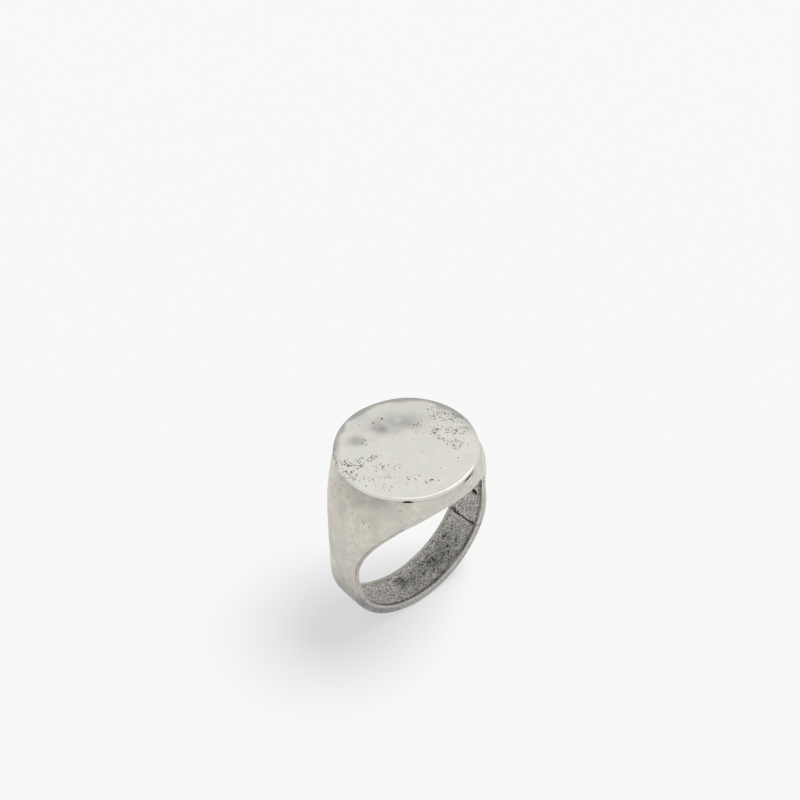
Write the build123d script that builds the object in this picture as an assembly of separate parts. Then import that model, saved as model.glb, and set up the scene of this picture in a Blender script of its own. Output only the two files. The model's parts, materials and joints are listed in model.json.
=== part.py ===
from build123d import *
import math
import os

# A signet ring put together from a hollow head, a round table, a shank and two thin strips that
# line the finger hole, soldered at every joint. Millimetres. The origin is the centre of the finger
# hole, +Y runs along the finger, and +Z goes up through the middle of the table. The ring is the
# same left and right, and front and back. The outside of the shank is centred a little below the
# hole, so its wall is thickest at the foot.

# Driving sizes
finger_radius = 9.5
shank_outer_radius = 10.5
shank_drop = 0.8
shank_half_width = 2.58
foot_length = 4
table_radius = 8.25
table_top = 12.75
table_thickness = 0.5
table_edge_rounding = 0.12

# Solder between the table and the rim of the head
table_solder_thickness = 0.1

# The head, from the widest part of the shoulders up to the rim that carries the table
head_top_radius = 8.1
head_top = table_top - table_thickness - table_solder_thickness
head_wall = 1.1
hollow_floor = 5.5
shoulder_floor = -6
shoulder_squareness = 8
squareness_fade = 2.85
side_curve = 2.5
shoulder_spread = 0.13
section_count = 17
section_points = 32

# The foot, a small worn flat under the shank that the ring stands on
foot_height = -shank_drop - math.sqrt(shank_outer_radius**2 - (foot_length / 2) ** 2)

# The two strips that line the finger hole, let into a shallow bed between two narrow rims
lining_thickness = 0.4
lining_solder_thickness = 0.08
lining_back_radius = finger_radius + lining_thickness
bed_radius = lining_back_radius + lining_solder_thickness
rim_width = 0.45
lining_gap = 0.08
lining_steps = 8

# The two butt joints of the shank, as angles from +X towards +Z about the finger hole's axis
joint_drop_angle = 27
joint_solder_thickness = 0.14
right_joint = -joint_drop_angle
left_joint = 180 + joint_drop_angle
half_joint = math.degrees(joint_solder_thickness / 2 / finger_radius)

# Half the size of cutting tools, larger than the whole ring
reach = 30


def head_outline_sizes(height):
    """Half the ring's size along X and along Y, and the squareness of its outline, at a height."""
    lift = height + shank_drop
    if lift < 0:
        half_x = math.sqrt(shank_outer_radius**2 - lift**2)
        return half_x, shank_half_width, shoulder_squareness * half_x / shank_outer_radius
    taper = (lift / (head_top + shank_drop)) ** side_curve
    half_x = shank_outer_radius - (shank_outer_radius - head_top_radius) * taper
    rise = max(0, height) / head_top
    turn = min(1, rise * (1 + shoulder_spread * rise)) * math.pi / 2
    half_y = shank_half_width + (head_top_radius - shank_half_width) * math.sin(turn) ** 2
    squareness = 2 + (shoulder_squareness - 2) * (1 - rise) ** squareness_fade
    return half_x, half_y, squareness


def outline(height, inset):
    """The ring's closed outline at a height: an ellipse where squareness is 2, squarer above that."""
    half_x, half_y, squareness = head_outline_sizes(height)
    points = []
    for step in range(section_points):
        angle = 2 * math.pi * step / section_points
        across, along = math.cos(angle), math.sin(angle)
        size = (abs(across) ** squareness + abs(along) ** squareness) ** (-1 / squareness)
        points.append(((half_x - inset) * size * across, (half_y - inset) * size * along))
    return make_face(Spline(*points, periodic=True))


def head_form(floor, inset):
    """The filled form of the head and shoulders from a floor up, made smaller by an inset."""
    sections = []
    for step in range(section_count):
        height = floor + (head_top - floor) * step / (section_count - 1)
        sections.append(Pos(0, 0, height) * outline(height, inset))
    return loft(sections)


def shank_form():
    """The filled form of the lower half of the ring, with the foot it stands on."""
    right_side = outline(-shank_drop, 0) & Pos(reach / 2, 0) * Rectangle(reach, reach)
    rounded = Pos(0, 0, -shank_drop) * revolve(right_side, Axis.Y, 180)
    return rounded - Pos(0, 0, foot_height - reach / 2) * Box(reach, reach, reach)


def hole_half_width(height):
    """Half the ring's width along the finger, at the hole's wall, at a height."""
    half_x, half_y, squareness = head_outline_sizes(max(0, height))
    hole_x = math.sqrt(finger_radius**2 - max(0, height) ** 2)
    return half_y * (1 - (hole_x / half_x) ** squareness) ** (1 / squareness)


def lining_bar(inset):
    """A bar through the ring from side to side, as wide as the hole's wall less an inset."""
    edge = [(hole_half_width(0) - inset, -reach / 2)]
    for step in range(lining_steps + 1):
        height = finger_radius * math.sin(math.pi / 2 * step / lining_steps)
        edge.append((hole_half_width(height) - inset, height))
    foot = Polyline((0, -reach / 2), edge[0], edge[1])
    side = Spline(*edge[1:], tangents=[(0, 1), (0, 1)])
    head = Polyline(edge[-1], (edge[-1][0], reach / 2), (0, reach / 2), (0, -reach / 2))
    right_half = Plane.YZ * make_face([foot, side, head])
    return extrude(right_half + mirror(right_half, Plane.XZ), reach / 2, both=True)


def tube(inner_radius, outer_radius):
    """A long tube along the finger hole, or a rod where the inner radius is 0."""
    wall = Circle(outer_radius)
    if inner_radius > 0:
        wall -= Circle(inner_radius)
    return extrude(Plane.XZ * wall, reach, both=True)


def wedge(start, end):
    """All that lies between two angles about the finger hole's axis, under half a turn apart."""
    middle = math.radians((start + end) / 2)
    first, last = math.radians(start), math.radians(end)
    corners = [(0, 0)]
    for angle in (first, middle, last):
        corners.append((reach * math.cos(angle), reach * math.sin(angle)))
    return extrude(Plane.XZ * make_face(Polyline(*corners, close=True)), reach, both=True)


def keep(solid, start, end):
    """The part of a solid between two angles, which may be over half a turn apart."""
    if end - start < 180:
        return solid & wedge(start, end)
    return solid - wedge(end, start + 360)


# Forms that several pieces are cut from
finger_hole = tube(0, finger_radius)
solid_head = head_form(shoulder_floor, 0) - finger_hole
solid_shank = shank_form() - finger_hole
hollow = head_form(hollow_floor, head_wall)
bed = tube(finger_radius, bed_radius) & lining_bar(rim_width)
lining_place = lining_bar(rim_width + lining_gap)
upper = (right_joint + half_joint, left_joint - half_joint)
lower = (left_joint + half_joint, 360 + right_joint - half_joint)


def table_plate():
    """The round flat table, with its two edges broken."""
    middle = table_top - table_thickness / 2
    plate = Pos(0, 0, middle) * Cylinder(table_radius, table_thickness)
    return fillet(plate.edges().filter_by(GeomType.CIRCLE), table_edge_rounding)


def table_solder():
    """The ring of solder that seats the table on the rim of the head."""
    ring = Circle(head_top_radius) - Circle(head_top_radius - head_wall)
    return extrude(Pos(0, 0, head_top) * ring, table_solder_thickness)


def head_shell():
    """The hollow head with both shoulders, open under the table and towards the finger."""
    return keep(solid_head - bed - hollow, *upper)


def head_lining():
    """The curved strip that closes the head's hollow towards the finger."""
    strip = tube(finger_radius, lining_back_radius) & lining_place
    return keep(strip, *upper)


def head_lining_solder():
    """The solder between that strip and the ledge round the head's hollow."""
    film = tube(lining_back_radius, bed_radius) & lining_place
    return keep(film - hollow, *upper)


def shank_band():
    """The lower part of the ring, with the shallow bed for its lining."""
    return keep(solid_shank - bed, *lower)


def shank_lining():
    """The curved strip inside the shank."""
    strip = tube(finger_radius, lining_back_radius) & lining_place
    return keep(strip, *lower)


def shank_lining_solder():
    """The solder that holds the strip in the shank's bed."""
    film = tube(lining_back_radius, bed_radius) & lining_place
    return keep(film, *lower)


def joint_solder(angle):
    """The solder that fills one butt joint, through the shank and its lining."""
    return solid_shank & wedge(angle - half_joint, angle + half_joint)


pieces = {
    "table_plate": table_plate(),
    "table_solder": table_solder(),
    "head_shell": head_shell(),
    "head_lining": head_lining(),
    "head_lining_solder": head_lining_solder(),
    "shank_band": shank_band(),
    "shank_lining": shank_lining(),
    "shank_lining_solder": shank_lining_solder(),
    "right_joint_solder": joint_solder(right_joint),
    "left_joint_solder": joint_solder(left_joint),
}

os.makedirs("parts", exist_ok=True)
for name, piece in pieces.items():
    piece.label = name
    export_step(piece, f"parts/{name}.step")
    print(name, round(piece.volume, 3), len(piece.solids()), piece.is_valid)
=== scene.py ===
import bpy
import bmesh
import itertools
import json
import math
import numpy as np
from mathutils import Matrix, Vector


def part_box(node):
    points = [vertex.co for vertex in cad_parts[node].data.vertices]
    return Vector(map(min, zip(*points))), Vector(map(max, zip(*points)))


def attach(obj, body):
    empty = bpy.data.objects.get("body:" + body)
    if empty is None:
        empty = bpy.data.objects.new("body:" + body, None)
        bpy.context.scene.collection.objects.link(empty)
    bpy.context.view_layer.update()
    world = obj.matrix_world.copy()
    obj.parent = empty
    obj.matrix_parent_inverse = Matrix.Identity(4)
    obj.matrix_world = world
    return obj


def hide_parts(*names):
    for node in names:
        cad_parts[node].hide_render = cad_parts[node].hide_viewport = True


# The looks of a worn signet ring, around its CAD frame. Lengths are in millimetres until a mesh is
# made. Angles about the finger hole run from +X towards +Z. Angles about the Z axis run from +X
# towards +Y. Front is towards -Y.

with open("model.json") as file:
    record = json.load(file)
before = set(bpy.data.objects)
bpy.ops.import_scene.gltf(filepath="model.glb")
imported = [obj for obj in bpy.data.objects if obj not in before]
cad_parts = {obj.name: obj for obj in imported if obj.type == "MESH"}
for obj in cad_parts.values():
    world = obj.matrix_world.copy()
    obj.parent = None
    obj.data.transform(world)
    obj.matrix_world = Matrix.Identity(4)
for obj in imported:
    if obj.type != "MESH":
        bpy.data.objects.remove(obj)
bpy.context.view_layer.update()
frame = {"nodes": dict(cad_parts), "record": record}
MM = 0.001


# ---------------------------------------------------------------- sizes from the frame

def node_box(node):
    """A CAD node's lowest and highest corners, in millimetres."""
    low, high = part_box(node)
    return np.array(low) / MM, np.array(high) / MM


bore_mount = next(m for m in frame["record"]["mounts"] if m["name"] == "finger_bore")
hole_radius = bore_mount["dims"]["r_mm"]
table_low, table_high = node_box("table_plate")
table_solder_low = node_box("table_solder")[0]
shank_low = node_box("shank_band")[0]
lining_high = node_box("head_lining")[1]
lining_solder_high = node_box("head_lining_solder")[1]

table_radius = table_high[0]
table_top = table_high[2]
table_base = table_low[2]
head_top = table_solder_low[2]
foot_height = shank_low[2]
lining_radius = lining_high[0]
bed_radius = lining_solder_high[0]

# The bed of the linings: its two rims, and the gaps at its front and back walls
rim_width = 0.45
front_gap = 0.055
back_gap = 0.01

# The outside of the ring, as worn: the wall is thickest at the foot and a little fuller on the right
outer_radius = 10.5
outer_drop = 0.81
outer_shift = 0.2
shank_half_width = 2.49
shank_squareness = 10
squareness_fade = 4
side_curve = 3.75
head_top_half_x = 8.02
head_half_y = 7.88
shoulder_spread = 0.28
top_flare = 0.32
flare_start = 0.72

# The two butt joints. A corner is a row of points very close to the end of a piece.
joint_angle = math.radians(27)
joint_solder_thickness = 0.14
half_joint = joint_solder_thickness / 2 / hole_radius
corner_step = 0.0006
right_end = -joint_angle + half_joint
shank_end = -joint_angle - half_joint

# How fine the meshes are: angles between rows, and points in a row
head_step, head_columns, crown_rows = 0.0135, 190, 22
shank_step, shank_columns = 0.0115, 110
head_lining_step, head_lining_columns = 0.0125, 84
shank_lining_step, shank_lining_columns = 0.0075, 60
joint_bore_columns = 41
rim_points, bed_points = 6, 9
table_rows, table_columns, rounding_rows, underside_rows = 135, 560, 9, 5
outline_samples = 3001
edge_samples = 121

# Points this close to the hole's edge are on it, and this close to a wall are on the wall
edge_tolerance = 0.002
wall_tolerance = 0.01


# ---------------------------------------------------------------- noise

def random_value(cells, seed):
    """A fixed random number from -1 to 1 for each whole-number cell."""
    mixed = cells[:, 0] * 73856093 ^ cells[:, 1] * 19349663 ^ cells[:, 2] * 83492791
    mixed = (mixed ^ seed * 668265263) & 0xFFFFFFFF
    mixed = (mixed ^ mixed >> 15) * 739420757 & 0xFFFFFFFF
    mixed = (mixed ^ mixed >> 13) * 1274126177 & 0xFFFFFFFF
    return (mixed >> 8 & 0xFFFF) / 32767.5 - 1


def noise(points, size, seed):
    """Smooth noise from -1 to 1 whose bumps are about one size across."""
    scaled = points / size + 1000
    cells = np.floor(scaled).astype(np.int64)
    part = scaled - cells
    part = part * part * (3 - 2 * part)
    total = np.zeros(len(points))
    for corner in itertools.product((0, 1), repeat=3):
        share = np.prod(np.where(corner, part, 1 - part), axis=1)
        total += share * random_value(cells + corner, seed)
    return total


def rough_noise(points, size, seed):
    """Noise with two finer and weaker layers on top of it."""
    total = np.zeros(len(points))
    for layer in range(3):
        total += noise(points, size / 2**layer, seed + layer) / 2**layer
    return total / 1.5


def smooth_step(low, high, value):
    """0 at low, 1 at high and an even S-curve between them. It falls where low is above high."""
    share = np.clip((value - low) / (high - low), 0, 1)
    return share * share * (3 - 2 * share)


# ---------------------------------------------------------------- the ring's sections

def outer_sizes(height):
    """Half the ring's size along X and Y, and the squareness of its outline, at each height."""
    lift = height + outer_drop
    rise = np.clip(height / head_top, 0, 1)
    taper = np.clip(lift / (head_top + outer_drop), 0, 1) ** side_curve
    half_x = outer_radius - (outer_radius - head_top_half_x) * taper
    turn = np.minimum(1, rise * (1 + shoulder_spread * rise)) * math.pi / 2
    half_y = shank_half_width + (head_half_y - shank_half_width) * np.sin(turn) ** 2
    half_y = half_y + top_flare * smooth_step(flare_start, 1, rise)
    squareness = 2 + (shank_squareness - 2) * (1 - rise) ** squareness_fade
    return half_x, half_y, squareness


def outer_reach(angle):
    """How far the shank's outside is from the hole's axis at an angle below the middle."""
    if angle > -math.atan(outer_drop / outer_radius):
        return outer_radius / math.cos(angle)
    circle = math.sqrt(outer_radius**2 - (outer_drop * math.cos(angle)) ** 2)
    return circle - outer_drop * math.sin(angle)


def section_curve(half_out, half_y, squareness, start_out, count):
    """The outline from the front edge round the outside to the back edge, as count points."""
    turn = np.linspace(-math.pi / 2, math.pi / 2, outline_samples)
    across, along = np.cos(turn), np.sin(turn)
    across[[0, -1]] = 0
    size = (np.abs(across) ** squareness + np.abs(along) ** squareness) ** (-1 / squareness)
    out, y = half_out * size * across, half_y * size * along
    edge = half_y * max(0, 1 - (start_out / half_out) ** squareness) ** (1 / squareness)
    inside = out > start_out + 1e-9
    out = np.concatenate([[start_out], out[inside], [start_out]])
    y = np.concatenate([[-edge], y[inside], [edge]])
    length = np.concatenate([[0], np.cumsum(np.hypot(np.diff(out), np.diff(y)))])
    step = np.linspace(-1, 1, count)
    graded = (step + np.sin(step * math.pi / 2)) / 2
    place = (graded + 1) / 2 * length[-1]
    return np.interp(place, length, out), np.interp(place, length, y)


def polar_points(out, y, angle):
    """Points at distances from the hole's axis and places along it, turned to an angle."""
    return np.stack([out * math.cos(angle), y, out * math.sin(angle)], -1)


def level_points(out, y, height):
    """The same points at one height instead."""
    return np.stack([out, y, np.full(len(out), height)], -1)


def section(angle, count):
    """A row of points round the outside at an angle: radial below the middle, level above it."""
    if angle < 0:
        reach = outer_reach(angle)
        out, y = section_curve(reach, shank_half_width, shank_squareness, hole_radius, count)
        return polar_points(out, y, angle)
    height = hole_radius * math.sin(angle)
    out, y = section_curve(*outer_sizes(height), hole_radius * math.cos(angle), count)
    return level_points(out, y, height)


def hole_edge(angle):
    """Half the ring's width along the finger at the hole's wall."""
    return section(angle, 3)[-1, 1]


def bore_row(angle):
    """A row from the front edge to the back edge over the two rims and the bed between them."""
    edge = hole_edge(angle)
    inner = edge - rim_width
    bed_wall = (hole_radius + bed_radius) / 2
    profile = [(hole_radius, y) for y in np.linspace(-edge, -inner, rim_points)]
    profile += [(bed_wall, -inner)]
    profile += [(bed_radius, y) for y in np.linspace(-inner, inner, bed_points)]
    profile += [(bed_wall, inner)]
    profile += [(hole_radius, y) for y in np.linspace(inner, edge, rim_points)]
    out, y = np.array(profile).T
    return polar_points(out, y, angle)


def mirrored(grid):
    """The same points on the other side of the ring, left for right."""
    return grid * (-1, 1, 1)


def flat_cap(row, other_row):
    """The points round a flat end, between two rows that share their first and last points."""
    return np.concatenate([row, other_row[::-1][1:-1]])


def row_angles(start, end, step, joints):
    """Evenly spaced angles, with one more just inside each joint to keep its corner crisp."""
    count = int(round((end - start) / step)) + 1
    return np.sort(np.append(np.linspace(start, end, count), joints))


# ---------------------------------------------------------------- where points lie

def bore_distance(points):
    """Each point's distance from the hole's axis."""
    return np.hypot(points[:, 0], points[:, 2])


def folded_angle(points):
    """Each point's angle about the hole, with the left half folded onto the right."""
    return np.arctan2(points[:, 2], np.abs(points[:, 0]))


def azimuth_angle(points):
    """Each point's angle about the Z axis."""
    return np.arctan2(points[:, 1], points[:, 0])


def hole_edges(points):
    """The place of the hole's edge along the finger beside each point."""
    known = np.linspace(-math.pi / 2, math.pi / 2, edge_samples)
    return np.interp(folded_angle(points), known, [hole_edge(value) for value in known])


# ---------------------------------------------------------------- meshes

# Points in the same cell of this size are joined. The offset keeps round numbers off cell borders.
join_size = 0.001
join_offset = 0.137

# The seams of the butt joints: turn per millimetre along the finger, wander, and where both fade
seam_skew = -0.009
seam_wander = 0.012
seam_fade = (0.05, 0.25)

# Moves the noise on the two sides apart, so that the two seams differ
sides_apart = 40


def raw_piece(name, grids, caps=()):
    """One closed mesh, in millimetres, from grids of points and flat many-sided caps."""
    points, faces, start = [], [], 0
    for grid in grids:
        rows, columns = grid.shape[:2]
        index = np.arange(rows * columns).reshape(rows, columns) + start
        corners = [index[:-1, :-1], index[:-1, 1:], index[1:, 1:], index[1:, :-1]]
        faces.extend(np.stack(corners, -1).reshape(-1, 4).tolist())
        points.append(grid.reshape(-1, 3))
        start += rows * columns
    for cap in caps:
        faces.append(list(range(start, start + len(cap))))
        points.append(cap)
        start += len(cap)
    points = np.concatenate(points)
    keys = np.round(points / join_size + join_offset).astype(np.int64)
    _, first, joined = np.unique(keys, axis=0, return_index=True, return_inverse=True)
    joined = joined.reshape(-1)
    mesh = bpy.data.meshes.new(name)
    kept = [list(dict.fromkeys(joined[face].tolist())) for face in faces]
    mesh.from_pydata(points[first].tolist(), [], [face for face in kept if len(face) > 2])
    shell = bmesh.new()
    shell.from_mesh(mesh)
    bmesh.ops.recalc_face_normals(shell, faces=shell.faces)
    shell.to_mesh(mesh)
    shell.free()
    mesh.polygons.foreach_set("use_smooth", np.ones(len(mesh.polygons), bool))
    return mesh


def vectors(items, name):
    """The named vector of each of a mesh's items, as rows of three numbers."""
    values = np.zeros(len(items) * 3)
    items.foreach_get(name, values)
    return values.reshape(-1, 3)


def points_and_normals(mesh):
    """A mesh's points, and the way that its surface faces at each."""
    return vectors(mesh.vertices, "co"), vectors(mesh.vertex_normals, "vector")


def finish_piece(mesh, points, marks, material, slot, *nodes):
    """Puts the final points and marks on a mesh and makes it a piece that stands for CAD nodes.

    marks is (dirt and painted shade, pocks, tarnish and painted shade), each from 0 to 1 at every
    point.
    """
    mesh.vertices.foreach_set("co", (points * MM).ravel())
    for mark, values in zip(("dirt_and_shade", "pocks", "tarnish_and_shade"), marks):
        attribute = mesh.attributes.new(mark, "FLOAT", "POINT")
        attribute.data.foreach_set("value", np.clip(values, 0, 1).astype(np.float32))
    mesh.materials.append(material)
    mesh.update()
    piece = bpy.data.objects.new(mesh.name, mesh)
    bpy.context.scene.collection.objects.link(piece)
    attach(piece, "root")
    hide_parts(*nodes)


def pit_field(points, centres, radii, seed):
    """How deep each point lies in a scatter of round pits: 0 outside, 1 at a pit's middle."""
    wobble = 1 + 0.35 * noise(points, 0.12, seed)
    depth = np.zeros(len(points))
    for centre, radius in zip(centres, radii):
        near = np.abs(points - centre).max(axis=1) < radius * 1.5
        if not near.any():
            continue
        distance = np.linalg.norm(points[near] - centre, axis=1) * wobble[near] / radius
        depth[near] = np.maximum(depth[near], np.clip(1 - distance**2, 0, 1))
    return depth


def skew_seams(points):
    """Turns the metal near the two butt joints a little, so that each seam wanders across."""
    fade = 1 - smooth_step(*seam_fade, np.abs(folded_angle(points) + joint_angle))
    flat = points * (1, 1, 0) + np.sign(points[:, :1]) * (sides_apart, 0, 0)
    turn = (seam_skew * points[:, 1] + seam_wander * noise(flat, 0.9, 71)) * fade
    turn = turn * np.where(points[:, 0] > 0, 1, -1)
    x = points[:, 0] * np.cos(turn) - points[:, 2] * np.sin(turn)
    z = points[:, 0] * np.sin(turn) + points[:, 2] * np.cos(turn)
    return np.stack([x, points[:, 1], z], -1)


# ---------------------------------------------------------------- materials

# The grey of tarnish and of painted shade
tarnish_and_shade_grey = (0.30, 0.30, 0.30, 1)


def metal(name, light, shade, tint, dirt_and_shade, roughness, clouds, grain, pocks, dirt_noise=0.15):
    """A worn metal in three cloudy tones, with dirt, grey tarnish and painted shade where the mesh
    is marked.

    roughness is (lowest, highest); clouds is (size, contrast); grain is (size, height);
    pocks is (size, height) of the tiny pits that the mesh's pocks mark makes likely.
    """
    material = bpy.data.materials.new(name)
    material.use_nodes = True
    nodes, links = material.node_tree.nodes, material.node_tree.links
    nodes.clear()

    def connect(value, socket):
        if isinstance(value, (int, float, tuple)):
            socket.default_value = value
        else:
            links.new(value, socket)

    def noise_value(size, detail, roughness_share=0.55):
        node = nodes.new("ShaderNodeTexNoise")
        node.inputs["Scale"].default_value = 1 / (size * MM)
        node.inputs["Detail"].default_value = detail
        node.inputs["Roughness"].default_value = roughness_share
        links.new(place.outputs["Object"], node.inputs["Vector"])
        return node.outputs["Fac"]

    def remap(value, low, high, to_low, to_high):
        node = nodes.new("ShaderNodeMapRange")
        for socket, number in zip(node.inputs, (value, low, high, to_low, to_high)):
            connect(number, socket)
        return node.outputs["Result"]

    def combine(kind, first, second):
        node = nodes.new("ShaderNodeMath")
        node.operation = kind
        connect(first, node.inputs[0])
        connect(second, node.inputs[1])
        return node.outputs["Value"]

    def mix(factor, first, second):
        node = nodes.new("ShaderNodeMix")
        node.data_type = "RGBA"
        connect(factor, node.inputs[0])
        connect(first, node.inputs[6])
        connect(second, node.inputs[7])
        return node.outputs[2]

    def mark(mark_name):
        node = nodes.new("ShaderNodeAttribute")
        node.attribute_name = mark_name
        return node.outputs["Fac"]

    # Clouds of tone, fine grain, and dirt and painted shade with a ragged outline
    place = nodes.new("ShaderNodeTexCoord")
    cloud = remap(noise_value(clouds[0], 5), 0.5 - clouds[1], 0.5 + clouds[1], 0, 1)
    blush = remap(noise_value(clouds[0] * 0.7, 5, 0.62), 0.45, 0.65, 0, 1)
    fine = noise_value(grain[0], 4, 0.65)
    uneven = remap(fine, 0.3, 0.7, -dirt_noise, dirt_noise)
    dirt_and_shade_share = remap(combine("ADD", mark("dirt_and_shade"), uneven), 0.15, 0.6, 0, 1)

    # Tiny pits: the middles of bent cells, in the places that chance and the pocks mark choose
    wander = nodes.new("ShaderNodeTexNoise")
    wander.inputs["Scale"].default_value = 1 / (0.2 * MM)
    links.new(place.outputs["Object"], wander.inputs["Vector"])
    bent = nodes.new("ShaderNodeVectorMath")
    bent.operation = "MULTIPLY_ADD"
    links.new(wander.outputs["Color"], bent.inputs[0])
    bent.inputs[1].default_value = (0.12 * MM,) * 3
    links.new(place.outputs["Object"], bent.inputs[2])
    cells = nodes.new("ShaderNodeTexVoronoi")
    cells.inputs["Scale"].default_value = 1 / (pocks[0] * MM)
    links.new(bent.outputs["Vector"], cells.inputs["Vector"])
    chance = remap(noise_value(pocks[0] * 2.3, 1), 0.3, 0.7, 0, 1)
    chosen = remap(combine("ADD", mark("pocks"), chance), 1.0, 1.15, 0, 1)
    pocked = combine("MULTIPLY", remap(cells.outputs["Distance"], 0.2, 0.42, 1, 0), chosen)

    # Colour, relief and gloss
    dirt_and_shade_share = combine("MAXIMUM", dirt_and_shade_share, pocked)
    tone = mix(cloud, (*light, 1), (*shade, 1))
    tone = mix(blush, tone, (*tint, 1))
    # Grey where tarnish and painted shade are marked, then dark where dirt and painted shade are
    # marked
    tone = mix(mark("tarnish_and_shade"), tone, tarnish_and_shade_grey)
    tone = mix(dirt_and_shade_share, tone, (*dirt_and_shade, 1))
    relief = remap(fine, 0, 1, 0, grain[1])
    relief = combine("SUBTRACT", relief, combine("MULTIPLY", pocked, pocks[1]))
    bump = nodes.new("ShaderNodeBump")
    bump.inputs["Distance"].default_value = MM
    links.new(relief, bump.inputs["Height"])
    gloss = remap(noise_value(0.9, 3), 0.3, 0.7, roughness[0], roughness[1])
    gloss = combine("ADD", gloss, combine("MULTIPLY", dirt_and_shade_share, 0.35))
    shader = nodes.new("ShaderNodeBsdfPrincipled")
    shader.inputs["Metallic"].default_value = 1
    links.new(tone, shader.inputs["Base Color"])
    links.new(gloss, shader.inputs["Roughness"])
    links.new(bump.outputs["Normal"], shader.inputs["Normal"])
    output = nodes.new("ShaderNodeOutputMaterial")
    links.new(shader.outputs["BSDF"], output.inputs["Surface"])
    return material


body_metal = metal(
    "worn_satin_metal",
    light=(0.715, 0.685, 0.605),
    shade=(0.575, 0.555, 0.48),
    tint=(0.65, 0.595, 0.54),
    dirt_and_shade=(0.09, 0.085, 0.08),
    roughness=(0.30, 0.42),
    clouds=(1.1, 0.14),
    grain=(0.22, 0.016),
    pocks=(0.18, 0.012),
)
table_metal = metal(
    "polished_table_metal",
    light=(0.89, 0.88, 0.80),
    shade=(0.83, 0.835, 0.775),
    tint=(0.865, 0.815, 0.755),
    dirt_and_shade=(0.07, 0.07, 0.068),
    roughness=(0.18, 0.30),
    clouds=(2.2, 0.1),
    grain=(0.3, 0.005),
    pocks=(0.17, 0.01),
)
lining_metal = metal(
    "rough_tarnished_metal",
    light=(0.95, 0.93, 0.88),
    shade=(0.19, 0.18, 0.165),
    tint=(0.42, 0.40, 0.37),
    dirt_and_shade=(0.055, 0.05, 0.045),
    roughness=(0.34, 0.5),
    clouds=(0.2, 0.1),
    grain=(0.12, 0.06),
    pocks=(0.2, 0.05),
    dirt_noise=0.35,
)
solder_metal = metal(
    "dull_solder",
    light=(0.42, 0.40, 0.37),
    shade=(0.26, 0.25, 0.24),
    tint=(0.3, 0.29, 0.27),
    dirt_and_shade=(0.04, 0.04, 0.04),
    roughness=(0.4, 0.6),
    clouds=(0.5, 0.2),
    grain=(0.15, 0.03),
    pocks=(0.25, 0.02),
)


# ---------------------------------------------------------------- wear on the head and the shank

# Gaps left under the table's edge: middle, half width, height
undercuts = [
    (math.radians(-129.5), math.radians(4.2), 0.16),
    (math.radians(-71), math.radians(10), 0.36),
]

# How deep the metal is sunk in a gap under the table, in a pit, and right on the hole's edge
gap_depth = 0.3
pit_depth = 0.03
edge_depth = 0.1


def undercut_share(points, reach=None):
    """1 in the middle of each gap under the table's edge, falling to 0 at its ends.

    Given the points' distance below the table as reach, it also falls to 0 at the gap's foot.
    """
    azimuth = azimuth_angle(points)
    share = np.zeros(len(points))
    for middle, half, height in undercuts:
        gap = np.clip(1 - ((azimuth - middle) / half) ** 2, 0, 1)
        if reach is not None:
            gap = gap * smooth_step(height, height * 0.4, reach)
        share = np.maximum(share, gap)
    return share


def swell(points):
    """How far the hammered and worn outside stands out from its smooth shape."""
    out = 0.035 * noise(points, 3.6, 11) + 0.025 * noise(points, 1.5, 12)
    return out + 0.011 * rough_noise(points, 0.5, 13)


def edge_wear(edge_distance):
    """How far the outside is rounded back at a distance from the hole's edge."""
    return 0.12 * np.clip(1 - edge_distance / 0.26, 0, 1) ** 2


def rim_wear(points, edge_distance):
    """How far the rims inside the hole are worn back."""
    rough = 0.02 * rough_noise(points, 0.45, 20) + 0.015 * noise(points, 0.2, 23)
    return 0.1 * np.clip(1 - edge_distance / 0.25, 0, 1) ** 2 + 0.03 - rough


def shift_outside(points, edge_distance, in_bore):
    """Moves the outside to the right by the ring's unevenness, fading to the table and the hole."""
    share = np.clip(1 - points[:, 2] / head_top, 0, 1) * np.clip(edge_distance / 0.8, 0, 1)
    return points + (share * ~in_bore)[:, None] * (outer_shift, 0, 0)


def outside_marks(points, normals, edge_distance):
    """Dirt, pock density, and grey for tarnish and painted shade on the outside, darker low down and
    on the shank's sides.
    """
    low = smooth_step(2, -6, points[:, 2])
    side = smooth_step(0.6, 0.95, np.abs(normals[:, 1])) * smooth_step(0, -5, points[:, 2])
    side = side * smooth_step(0.03, 0.12, edge_distance)
    speckle = rough_noise(points, 0.3, 61)
    dirt_and_shade = side * (0.11 + 0.2 * speckle)
    pocks = 0.15 + 0.2 * noise(points, 2.2, 62) + 0.32 * low + 0.1 * side
    # Greyer low down and on the lower left: tarnish together with painted shade
    left = smooth_step(-2, -8, points[:, 0]) * smooth_step(0, -4, points[:, 2])
    tarnish_and_shade = 0.11 + 0.2 * noise(points, 2.4, 63) + 0.42 * low + 0.16 * side
    tarnish_and_shade += left * (0.17 + 0.26 * rough_noise(points, 1.1, 64))
    return dirt_and_shade, pocks, tarnish_and_shade


# ---------------------------------------------------------------- the head and the shank

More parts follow.
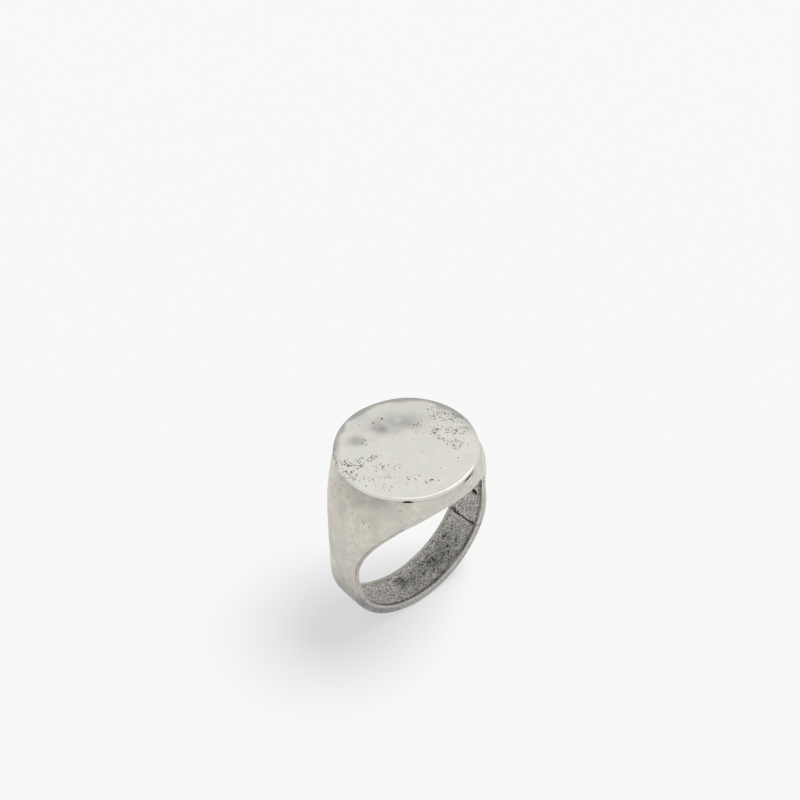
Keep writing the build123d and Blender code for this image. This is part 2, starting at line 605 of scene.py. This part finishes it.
def ring_piece(mesh, seed, pit_count, node):
    """Wears a head or shank mesh and makes it a piece."""
    points, normals = points_and_normals(mesh)
    radius = bore_distance(points)
    edges = hole_edges(points)
    across = np.abs(points[:, 1])
    in_bore = (radius < bed_radius + wall_tolerance) & (across < edges + edge_tolerance)
    rim = in_bore & (radius < hole_radius + wall_tolerance)
    distance = np.where(in_bore, np.abs(edges - across), radius - hole_radius)
    edge = in_bore & (distance < edge_tolerance)

    random = np.random.default_rng(seed)
    picked = random.choice(len(points), pit_count * 3, replace=False)
    picked = [i for i in picked if distance[i] > 0.3 and not in_bore[i]][:pit_count]
    pits = pit_field(points, points[picked], random.uniform(0.05, 0.1, len(picked)), seed)
    out = swell(points) - edge_wear(distance) - pit_depth * pits
    out = np.where(in_bore, np.where(rim, -rim_wear(points, distance), 0), out)
    out = np.where(edge, -edge_depth, out)
    gap = undercut_share(points, head_top - points[:, 2])
    worn = points + normals * (out - gap_depth * gap)[:, None]
    worn = skew_seams(shift_outside(worn, distance, in_bore))
    # The foot stays flat
    worn[:, 2] = np.maximum(worn[:, 2], foot_height)

    dirt_and_shade, pocks, tarnish_and_shade = outside_marks(points, normals, distance)
    dirt_and_shade = np.maximum(dirt_and_shade, 0.75 * pits)
    # Inside the hole the front half is darker and has a dark line just past the near rim: dirt with
    # painted shade where the rim hides the bed
    front = smooth_step(0.2, -0.2, points[:, 1])
    along = points * (1, 0, 1)
    groove_dirt_and_shade = smooth_step(0.05, 0.2, distance) * front * (0.75 + 0.4 * noise(along, 2.5, seed + 3))
    speckle = rough_noise(points, 0.24, seed + 17)
    dirt_and_shade = np.where(in_bore, 0.08 * front + 0.42 * groove_dirt_and_shade - 0.25 * speckle, dirt_and_shade)
    dirt_and_shade = np.where(edge, 0, dirt_and_shade)
    # Painted shade in the gaps under the table's edge
    dirt_and_shade = np.maximum(dirt_and_shade, 0.95 * smooth_step(0.15, 0.5, gap))
    tarnish_and_shade = np.where(in_bore, 0.4 + 0.25 * front * smooth_step(0.05, 0.15, distance), tarnish_and_shade)
    tarnish_and_shade = np.where(edge, 0, tarnish_and_shade)
    finish_piece(mesh, worn, (dirt_and_shade, pocks, tarnish_and_shade), body_metal, "body_metal", node)


head_angles = row_angles(right_end, math.pi / 2, head_step, [right_end + corner_step])
head_rows = [section(angle, head_columns) for angle in head_angles]
for height in (*np.linspace(hole_radius, head_top - 0.01, crown_rows)[1:], head_top):
    out, y = section_curve(*outer_sizes(height), 0, head_columns)
    head_rows.append(level_points(out, y, height))
head_grid = np.array(head_rows)
head_bore = np.array([bore_row(angle) for angle in head_angles])
head_end = flat_cap(head_grid[0], head_bore[0])
head_rim = flat_cap(head_grid[-1], mirrored(head_grid[-1]))
head_mesh = raw_piece(
    "head_shell_worn",
    [head_grid, mirrored(head_grid), head_bore, mirrored(head_bore)],
    [head_end, mirrored(head_end), head_rim],
)
ring_piece(head_mesh, 11, 18, "head_shell")

shank_angles = row_angles(-math.pi / 2, shank_end, shank_step, [shank_end - corner_step])
shank_grid = np.array([section(angle, shank_columns) for angle in shank_angles])
shank_bore = np.array([bore_row(angle) for angle in shank_angles])
shank_cap = flat_cap(shank_grid[-1], shank_bore[-1])
shank_mesh = raw_piece(
    "shank_band_worn",
    [shank_grid, mirrored(shank_grid), shank_bore, mirrored(shank_bore)],
    [shank_cap, mirrored(shank_cap)],
)
ring_piece(shank_mesh, 23, 16, "shank_band")


# ---------------------------------------------------------------- the linings

# One deep pit on the right and one wide stain near the foot: place, radius
lining_pit = np.array([(hole_radius * math.cos(0.025), -1.0, -hole_radius * math.sin(0.025))])
lining_pit_radius = 0.42
lining_stain = np.array([(hole_radius * math.cos(-1.68), 0.9, hole_radius * math.sin(-1.68))])
lining_stain_radius = 1.2
small_pits = 120


def lining_grid(angles, radius, columns):
    """A curved sheet at a radius, as wide as the bed less a small gap each side."""
    rows = []
    for angle in angles:
        folded = angle if angle < math.pi / 2 else math.pi - angle
        half = hole_edge(folded) - rim_width
        y = np.linspace(-half + front_gap, half - back_gap, columns)
        rows.append(polar_points(np.full(columns, radius), y, angle))
    return np.array(rows)


def lining_piece(name, start, end, step, columns, seed, node):
    """One rough strip that lines the hole between two angles."""
    angles = row_angles(start, end, step, [start + corner_step, end - corner_step])
    front = lining_grid(angles, hole_radius, columns)
    back = lining_grid(angles, lining_radius, columns)
    sides = [np.stack([front[:, 0], back[:, 0]]), np.stack([front[:, -1], back[:, -1]]),
             np.stack([front[0], back[0]]), np.stack([front[-1], back[-1]])]
    mesh = raw_piece(name, [front, back, *sides])
    points, normals = points_and_normals(mesh)
    bore_side = bore_distance(points) < (hole_radius + lining_radius) / 2
    coarse = rough_noise(points, 0.55, seed)
    fine = rough_noise(points, 0.24, seed + 7)

    centres = points[bore_side]
    random = np.random.default_rng(seed)
    picked = random.choice(len(centres), small_pits, replace=False)
    pits = pit_field(points, centres[picked], random.uniform(0.08, 0.2, small_pits), seed)
    deep_pit = pit_field(points, lining_pit, [lining_pit_radius], seed)
    sink = 0.05 + 0.04 * coarse + 0.04 * fine + 0.06 * pits
    sink += 0.15 * deep_pit
    worn = skew_seams(points + normals * np.where(bore_side, -sink, 0)[:, None])

    angle = np.arctan2(points[:, 2], points[:, 0])
    angle = np.where(angle < start - 0.1, angle + 2 * math.pi, angle)
    middle = smooth_step(-1.86, -1.7, angle + 0.08 * coarse) * smooth_step(-0.4, -0.9, angle)
    middle = middle * smooth_step(1.9, 0.9, points[:, 1] + 0.4 * coarse)
    end_distance = hole_radius * np.minimum(np.abs(angle - start), np.abs(angle - end))
    end_dirt = smooth_step(0.4, 0.05, end_distance + 0.2 * coarse)
    end_dirt = end_dirt * (1 + 0.7 * smooth_step(0.3, 1.3, points[:, 1]))
    stain = pit_field(points, lining_stain, [lining_stain_radius], seed)
    dirt_and_shade = 0.32 * middle - 0.25 * coarse - 0.3 * fine + 0.4 * pits + 0.35 * end_dirt
    dirt_and_shade += 0.34 * noise(points, 1.6, seed + 30) - 0.14
    dirt_and_shade += deep_pit * (1.4 + 0.8 * coarse)
    dirt_and_shade += 0.18 * stain * (1 + coarse)
    pocks = 0.3 + 0.3 * coarse
    tarnish_and_shade = 0.02 + 0.5 * middle + 0.2 * noise(points, 2.0, seed + 40)
    finish_piece(mesh, worn, (dirt_and_shade, pocks, tarnish_and_shade), lining_metal, "lining_metal", node)


lining_piece("head_lining_rough", right_end, math.pi - right_end,
             head_lining_step, head_lining_columns, 41, "head_lining")
lining_piece("shank_lining_rough", -math.pi - shank_end, shank_end,
             shank_lining_step, shank_lining_columns, 57, "shank_lining")


# ---------------------------------------------------------------- the butt joints

# How deep the solder is sunk between the rims inside the hole
joint_sink = 0.12


def joint_piece(name, on_left, seed, node):
    """The solder in one butt joint: filed flush outside, sunk and dirty inside the hole."""
    inside = [shank_end + corner_step, right_end - corner_step]
    angles = row_angles(shank_end, right_end, half_joint / 2, inside)
    rows = np.array([section(angle, shank_columns) for angle in angles])
    steps = np.arange(joint_bore_columns)
    bore_rows = []
    for angle in angles:
        edge = hole_edge(angle)
        y = -edge + 2 * edge * steps / (joint_bore_columns - 1)
        bore_rows.append(polar_points(np.full(joint_bore_columns, hole_radius), y, angle))
    bore_rows = np.array(bore_rows)
    shapes = [rows, bore_rows, flat_cap(rows[0], bore_rows[0]), flat_cap(rows[-1], bore_rows[-1])]
    if on_left:
        shapes = [mirrored(shape) for shape in shapes]
    mesh = raw_piece(name, shapes[:2], shapes[2:])

    points, normals = points_and_normals(mesh)
    radius = bore_distance(points)
    in_bore = radius < hole_radius + wall_tolerance
    distance = np.where(in_bore, hole_edges(points) - np.abs(points[:, 1]), radius - hole_radius)
    edge = in_bore & (distance < edge_tolerance)
    sunk = in_bore & (distance > rim_width)
    out = np.where(in_bore, -rim_wear(points, distance), swell(points) - edge_wear(distance))
    out = np.where(sunk, -joint_sink - 0.06 * noise(points, 0.5, seed), out)
    out = np.where(edge, -edge_depth, out)
    worn = skew_seams(shift_outside(points + normals * out[:, None], distance, in_bore))
    dirt_and_shade, pocks, tarnish_and_shade = outside_marks(points, normals, distance)
    dirt_and_shade = np.where(sunk, 0.4 + 0.3 * noise(points, 0.5, seed + 1), dirt_and_shade)
    finish_piece(mesh, worn, (dirt_and_shade, pocks, tarnish_and_shade), body_metal, "solder", node)


joint_piece("right_joint_solder_worn", False, 81, "right_joint_solder")
joint_piece("left_joint_solder_worn", True, 83, "left_joint_solder")


# ---------------------------------------------------------------- the table and its solder

# The table's worn outline: its place off the middle, and how much longer it is along the finger
table_shift = (0.15, 0.06, 0)
table_length_share = 1.006
edge_round = 0.24
underside_round = 0.05

# Dents hammered in the table: place, half length, half width, turn in degrees, depth
dents = [
    (-3.3, 4.5, 1.2, 0.8, -30, 0.065),
    (0.2, 4.4, 1.5, 1.2, -38, 0.075),
    (3.2, 3.4, 2.1, 0.8, -38, 0.045),
    (1.7, 4.0, 3.2, 1.5, -36, 0.058),
    (7.1, -2.1, 0.5, 0.3, -60, 0.06),
]

# A dent this deep gets its full share of painted shade, and a deeper one a little more
full_dent_shade_depth = 0.063

# The way across the table to its greyer far side
far_side = (0.635, 0.772)

# Groups of pits in the table: place, half length, half width, turn in degrees, how many
pit_groups = [
    (7.2, 0.9, 1.4, 0.35, -65, 36),
    (6.0, 1.6, 0.8, 0.6, -40, 20),
    (6.6, 0.0, 0.9, 0.4, -50, 26),
    (4.8, -0.5, 0.9, 0.5, -40, 34),
    (3.6, -0.4, 0.35, 0.25, 0, 9),
    (3.8, -1.5, 0.4, 0.4, 0, 8),
    (5.9, -2.0, 0.9, 0.4, -60, 30),
    (4.7, -3.1, 0.9, 0.4, -50, 26),
    (4.2, -3.9, 0.6, 0.3, -60, 8),
    (3.5, 1.9, 0.6, 0.3, -40, 12),
    (-2.8, 4.0, 0.35, 0.25, 50, 9),
    (-4.7, 1.7, 0.9, 0.5, -40, 36),
    (-6.1, 1.5, 0.7, 0.4, -50, 16),
    (-7.3, 1.3, 0.8, 0.2, -72, 34),
    (-7.5, 0.3, 0.5, 0.2, -75, 14),
    (-6.8, 2.7, 0.8, 0.3, -62, 16),
    (-3.7, 1.2, 0.3, 0.3, 0, 6),
    (-3.7, -1.0, 1.0, 0.6, -40, 16),
    (-4.7, -2.2, 0.5, 0.3, -40, 8),
    (-6.0, -1.3, 0.6, 0.3, -40, 7),
    (-2.6, -4.2, 0.5, 0.3, 0, 10),
    (-1.5, -5.7, 0.6, 0.25, -30, 12),
    (-5.9, -3.2, 0.8, 0.3, -40, 6),
]

# Pits strewn over the whole table, in the same terms
strewn_pits = (0.0, 0.0, 4.0, 4.0, 0, 14)

# Single deep pits in the table: place, radius
deep_pits = [
    (1.14, 5.41, 0.16),
    (-0.02, 5.58, 0.13),
    (-1.2, -5.87, 0.17),
    (3.2, -5.2, 0.1),
    (-6.1, 1.0, 0.14),
    (-6.46, 2.85, 0.13),
    (6.8, 0.0, 0.13),
]

# The solder's ring, and the distance from the middle beyond which a point is on its outer face
solder_inner = 7.0
solder_outer = table_radius - 0.03
solder_face = 7.6
solder_sink = 0.07


def disc_grid(profile):
    """Turns (radius, height) points round the Z axis, with the table's slightly uneven outline."""
    azimuth = np.linspace(-math.pi, math.pi, table_columns + 1)
    uneven = 1 + 0.004 * np.sin(3 * azimuth + 0.6) + 0.003 * np.sin(7 * azimuth + 2)
    long_uneven = table_length_share * uneven
    rows = []
    for radius, height in profile:
        x = radius * uneven * np.cos(azimuth)
        y = radius * long_uneven * np.sin(azimuth)
        rows.append(level_points(x, y, height))
    grid = np.array(rows) + table_shift
    grid[:, -1] = grid[:, 0]
    return grid


def table_profile():
    """The table's top, its worn upper edge, and its side with a small lower edge."""
    flat_share = 1 - edge_round / table_radius
    profile = [(table_radius * r, table_top) for r in np.linspace(0, flat_share, table_rows)]
    for turn in np.linspace(0, math.pi / 2, rounding_rows)[1:]:
        profile.append((table_radius - edge_round * (1 - math.sin(turn)),
                        table_top - edge_round * (1 - math.cos(turn))))
    for turn in np.linspace(0, math.pi / 2, underside_rows):
        profile.append((table_radius - underside_round * (1 - math.cos(turn)),
                        table_base + underside_round * (1 - math.sin(turn))))
    return profile


def oval_spread(points, x, y, half_length, half_width, turn):
    """0 at the middle of a turned oval and 1 on its outline, growing as the distance squared."""
    cos, sin = math.cos(math.radians(turn)), math.sin(math.radians(turn))
    along = (points[:, 0] - x) * cos + (points[:, 1] - y) * sin
    across = (points[:, 1] - y) * cos - (points[:, 0] - x) * sin
    return (along / half_length) ** 2 + (across / half_width) ** 2


def crawling_pits(random):
    """Centres and radii of pits that run together into short crooked chains."""
    centres, radii = [], []
    for x, y, half_length, half_width, turn, count in (*pit_groups, strewn_pits):
        cos, sin = math.cos(math.radians(turn)), math.sin(math.radians(turn))
        for _ in range(count):
            along = random.normal(0, half_length * 0.8)
            across = random.normal(0, half_width * 0.8)
            place = np.array((x + along * cos - across * sin, y + along * sin + across * cos))
            for _ in range(random.integers(1, 4)):
                centres.append((*place, table_top))
                radii.append(random.uniform(0.035, 0.075))
                place = place + random.normal(0, 0.07, 2)
    for x, y, radius in deep_pits:
        centres.append((x, y, table_top))
        radii.append(radius)
    return np.array(centres), radii


def table_piece():
    """The table, dented and pitted on top and worn round its edge."""
    grid = disc_grid(table_profile())
    mesh = raw_piece("table_plate_worn", [grid], [grid[-1][:-1]])
    points, normals = points_and_normals(mesh)
    radius = np.hypot(points[:, 0], points[:, 1])
    azimuth = azimuth_angle(points)
    height = points[:, 2]
    centres, radii = crawling_pits(np.random.default_rng(5))
    pits = np.where(height > table_top - 0.05, pit_field(points, centres, radii, 3), 0)

    # Hammered dents, with painted shade that is greyer where they are deeper
    lower = 0.014 * noise(points, 3.2, 31) + 0.009 * noise(points, 1.2, 32)
    ripple = 1 + 0.35 * noise(points, 0.9, 35)
    dent_shade = np.zeros(len(points))
    for *oval, depth in dents:
        dip = np.exp(-((oval_spread(points, *oval) * ripple) ** 1.2))
        lower += depth * dip
        dent_shade = np.maximum(dent_shade, dip * depth / full_dent_shade_depth)

    # The ragged grey rim at the back and left
    behind = smooth_step(math.radians(-35), math.radians(0), azimuth)
    behind = behind * smooth_step(math.radians(165), math.radians(130), azimuth)
    ragged = radius + 0.35 * noise(points, 1.1, 34)
    back_rim = smooth_step(table_radius - 0.9, table_radius - 0.15, ragged) * behind
    left_rim = smooth_step(math.radians(120), math.radians(140), azimuth)
    left_rim = left_rim * smooth_step(table_radius - 0.5, table_radius - 0.1, ragged)
    lower += 0.05 * back_rim + 0.025 * pits
    worn = points - normals * lower[:, None]

    # Painted shade in the dents, and grey on the ragged back rim
    tarnish_and_shade = 0.62 * dent_shade * (0.85 + 0.3 * noise(points, 0.8, 33)) + 0.6 * back_rim
    far = far_side[0] * points[:, 0] + far_side[1] * points[:, 1]
    tarnish_and_shade += 0.09 * smooth_step(1.5, 6, far)
    on_side = smooth_step(table_top - 0.12, table_top - 0.26, height)
    tarnish_and_shade = np.maximum(tarnish_and_shade, 0.34 * on_side)
    # The lower side of the table darkens, most in the gaps under its edge: painted shade there,
    # faint dirt elsewhere
    side_dirt_and_shade = smooth_step(table_top - 0.3, table_base, height)
    dirt_and_shade = np.maximum(pits, side_dirt_and_shade * (0.05 + 0.95 * undercut_share(points)))
    dirt_and_shade = np.maximum(dirt_and_shade, left_rim * (0.25 + 0.2 * rough_noise(points, 0.3, 36)))
    near_pits = np.zeros(len(points))
    for *oval, _ in pit_groups:
        near_pits += np.exp(-oval_spread(points, *oval) / 2)
    pocks = 0.06 + 0.4 * np.clip(near_pits, 0, 1)
    finish_piece(mesh, worn, (dirt_and_shade, pocks, tarnish_and_shade), table_metal, "table_metal", "table_plate")


def table_solder_piece():
    """The ring of solder under the table, sunk and with painted shade in the gaps."""
    profile = [
        (solder_inner, head_top),
        (solder_outer, head_top),
        (solder_outer, table_base),
        (solder_inner, table_base),
        (solder_inner, head_top),
    ]
    mesh = raw_piece("table_solder_worn", [disc_grid(profile)])
    points = points_and_normals(mesh)[0]
    outside = np.hypot(points[:, 0], points[:, 1]) > solder_face
    share = undercut_share(points) * outside
    clean = np.zeros(len(points))
    worn = points * (1 - np.stack([share, share, clean], -1) * solder_sink)
    # Painted shade in the gaps under the table's edge, over faint dirt
    dirt_and_shade = 0.08 + 0.87 * share + 0.1 * noise(points, 0.7, 91)
    finish_piece(mesh, worn, (dirt_and_shade, clean, clean), body_metal, "solder", "table_solder")


table_piece()
table_solder_piece()

for node in ("head_lining_solder", "shank_lining_solder"):
    film = frame["nodes"][node]
    film.data.materials.clear()
    film.data.materials.append(solder_metal)


# ---------------------------------------------------------------- floor, light and camera

bpy.ops.mesh.primitive_plane_add(size=4, location=(0, 0, foot_height * MM))
floor = bpy.context.object
floor.name = "floor"
floor_material = bpy.data.materials.new("pale_floor")
floor_material.use_nodes = True
floor_shader = floor_material.node_tree.nodes["Principled BSDF"]
floor_shader.inputs["Base Color"].default_value = (0.06, 0.06, 0.06, 1)
floor_shader.inputs["Emission Color"].default_value = (1, 1, 1, 1)
floor_shader.inputs["Emission Strength"].default_value = 0.637
floor_shader.inputs["Roughness"].default_value = 0.9
floor_shader.inputs["Specular IOR Level"].default_value = 0.1
floor.data.materials.append(floor_material)

# A studio that is grey at the floor and white overhead
world = bpy.data.worlds.new("studio")
bpy.context.scene.world = world
world.use_nodes = True
tree = world.node_tree
background = tree.nodes["Background"]
direction = tree.nodes.new("ShaderNodeTexCoord")
parts = tree.nodes.new("ShaderNodeSeparateXYZ")
ramp = tree.nodes.new("ShaderNodeValToRGB")
tree.links.new(direction.outputs["Generated"], parts.inputs["Vector"])
tree.links.new(parts.outputs["Z"], ramp.inputs["Fac"])
tree.links.new(ramp.outputs["Color"], background.inputs["Color"])
ramp.color_ramp.elements[0].position = 0
ramp.color_ramp.elements[0].color = (0.62, 0.62, 0.62, 1)
ramp.color_ramp.elements[1].position = 0.75
ramp.color_ramp.elements[1].color = (1.0, 1.0, 1.0, 1)
background.inputs["Strength"].default_value = 0.85


def sun_light(name, azimuth, elevation, strength, spread):
    """A distant soft light from an angle round from +X and an angle above the floor."""
    lamp = bpy.data.lights.new(name, "SUN")
    lamp.energy = strength
    lamp.angle = math.radians(spread)
    place = bpy.data.objects.new(name, lamp)
    azimuth, elevation = math.radians(azimuth), math.radians(elevation)
    way = Vector((math.cos(azimuth) * math.cos(elevation), math.sin(azimuth) * math.cos(elevation),
                  math.sin(elevation)))
    place.rotation_euler = way.to_track_quat("Z", "Y").to_euler()
    bpy.context.scene.collection.objects.link(place)
    return place


# The edge light shows only in reflections, so on the metal. The shadow light shows only on matt
# surfaces, so on the floor.
sun_light("key", -30, 50, 0.5, 34)
edge_light = sun_light("edge_light", -120, 62, 0.19, 44)
edge_light.visible_diffuse = False
shadow_light = sun_light("shadow_light", -10, 65, 14, 30)
shadow_light.visible_glossy = False

# The camera looks down at the table from the front and left, a little rolled
camera_place = Vector((-94.05, -113.74, 154.6)) * MM
azimuth, elevation, roll = math.radians(-39.43), math.radians(42.38), math.radians(-2.3)
right = Vector((math.cos(azimuth), math.sin(azimuth), 0))
back = Vector((math.sin(azimuth) * math.cos(elevation), -math.cos(azimuth) * math.cos(elevation),
               math.sin(elevation)))
up = back.cross(right)
rolled_right = right * math.cos(roll) + up * math.sin(roll)
rolled_up = up * math.cos(roll) - right * math.sin(roll)
lens = bpy.data.cameras.new("camera")
lens.lens = 82.16
lens.sensor_width = 36
lens.clip_start = 0.001
camera = bpy.data.objects.new("camera", lens)
bpy.context.scene.collection.objects.link(camera)
turned = Matrix((rolled_right, rolled_up, back)).transposed().to_4x4()
camera.matrix_world = Matrix.Translation(camera_place) @ turned
bpy.context.scene.camera = camera
bpy.context.scene.view_settings.view_transform = "Standard"

bpy.context.view_layer.update()
